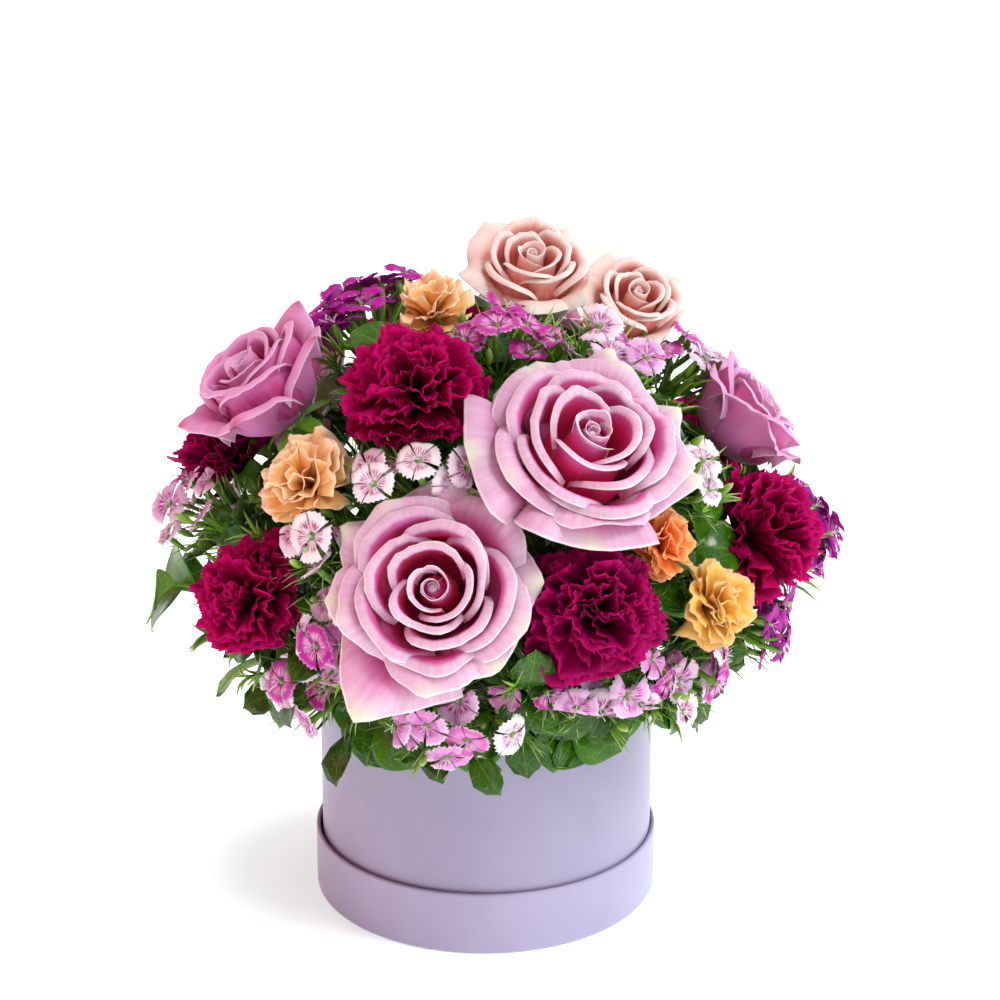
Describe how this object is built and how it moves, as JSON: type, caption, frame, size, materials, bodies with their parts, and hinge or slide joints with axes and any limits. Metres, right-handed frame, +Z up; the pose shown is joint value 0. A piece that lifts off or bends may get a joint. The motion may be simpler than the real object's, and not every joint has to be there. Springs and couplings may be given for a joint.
{
  "type": "flower hat box",
  "caption": "Round paper-wrapped hat box in its own upturned lid, holding a ball of roses, carnations, dianthus and glossy leaves set in floral foam.",
  "frame": {"origin": "middle of the lid's flat underside, on the surface that the box stands on", "axes": "+Z up; -Y is the front of the arrangement, as the picture shows it; +X is the viewer's right"},
  "size_m": [0.3609, 0.3406, 0.3502],
  "materials": {
    "wrapped_board": "satin",
    "liner": "gloss",
    "foam": "matte",
    "green_stem": "satin",
    "glossy_leaf": "gloss",
    "rose_pink": "satin",
    "rose_lavender": "satin",
    "rose_blush": "satin",
    "carnation_crimson": "matte",
    "carnation_peach": "matte",
    "carnation_orange": "matte",
    "carnation_yellow": "matte",
    "dianthus_candy": "matte",
    "dianthus_lilac": "matte",
    "dianthus_magenta": "matte",
    "dianthus_purple": "matte",
    "dianthus_white": "matte"
  },
  "bodies": {
    "root": {"box": "wrapped_board", "carnation_back_right": "carnation_crimson", "carnation_back_top": "carnation_crimson", "carnation_front_left": "carnation_crimson", "carnation_front_right": "carnation_crimson", "carnation_left": "carnation_crimson", "carnation_right": "carnation_crimson", "carnation_top": "carnation_crimson", "dianthus_back": "dianthus_magenta", "dianthus_back_left": "dianthus_candy", "dianthus_centre": "dianthus_candy", "dianthus_left": "dianthus_candy", "dianthus_left_low": "dianthus_magenta", "dianthus_lilac_top": "dianthus_lilac", "dianthus_magenta_top": "dianthus_magenta", "dianthus_pink_right": "dianthus_candy", "dianthus_purple_right": "dianthus_purple", "dianthus_purple_top": "dianthus_purple", "dianthus_right": "dianthus_purple", "dianthus_right_low": "dianthus_candy", "dianthus_rim_front": "dianthus_candy", "dianthus_rim_left": "dianthus_candy", "dianthus_rim_right": "dianthus_magenta", "dianthus_white_left": "dianthus_white", "dianthus_white_right": "dianthus_white", "foam": "foam", "leaves_back": "glossy_leaf", "leaves_back_left": "glossy_leaf", "leaves_back_right": "glossy_leaf", "leaves_left": "glossy_leaf", "leaves_right": "glossy_leaf", "leaves_rim_front_left": "glossy_leaf", "leaves_rim_front_right": "glossy_leaf", "leaves_rim_left": "glossy_leaf", "leaves_rim_right": "glossy_leaf", "leaves_side_right": "glossy_leaf", "leaves_top": "glossy_leaf", "lid": "wrapped_board", "liner": "liner", "rose_back_petals": "rose_pink", "rose_back_stem": "green_stem", "rose_blush_left_petals": "rose_blush", "rose_blush_left_stem": "green_stem", "rose_blush_right_petals": "rose_blush", "rose_blush_right_stem": "green_stem", "rose_front_high_petals": "rose_pink", "rose_front_high_stem": "green_stem", "rose_front_low_petals": "rose_pink", "rose_front_low_stem": "green_stem", "rose_lavender_back_petals": "rose_lavender", "rose_lavender_back_stem": "green_stem", "rose_lavender_left_petals": "rose_lavender", "rose_lavender_left_stem": "green_stem", "rose_lavender_right_petals": "rose_lavender", "rose_lavender_right_stem": "green_stem", "spray_carnation_back": "carnation_peach", "spray_carnation_centre": "carnation_orange", "spray_carnation_left": "carnation_peach", "spray_carnation_right": "carnation_yellow", "spray_carnation_top": "carnation_peach"}
  },
  "joints": []
}
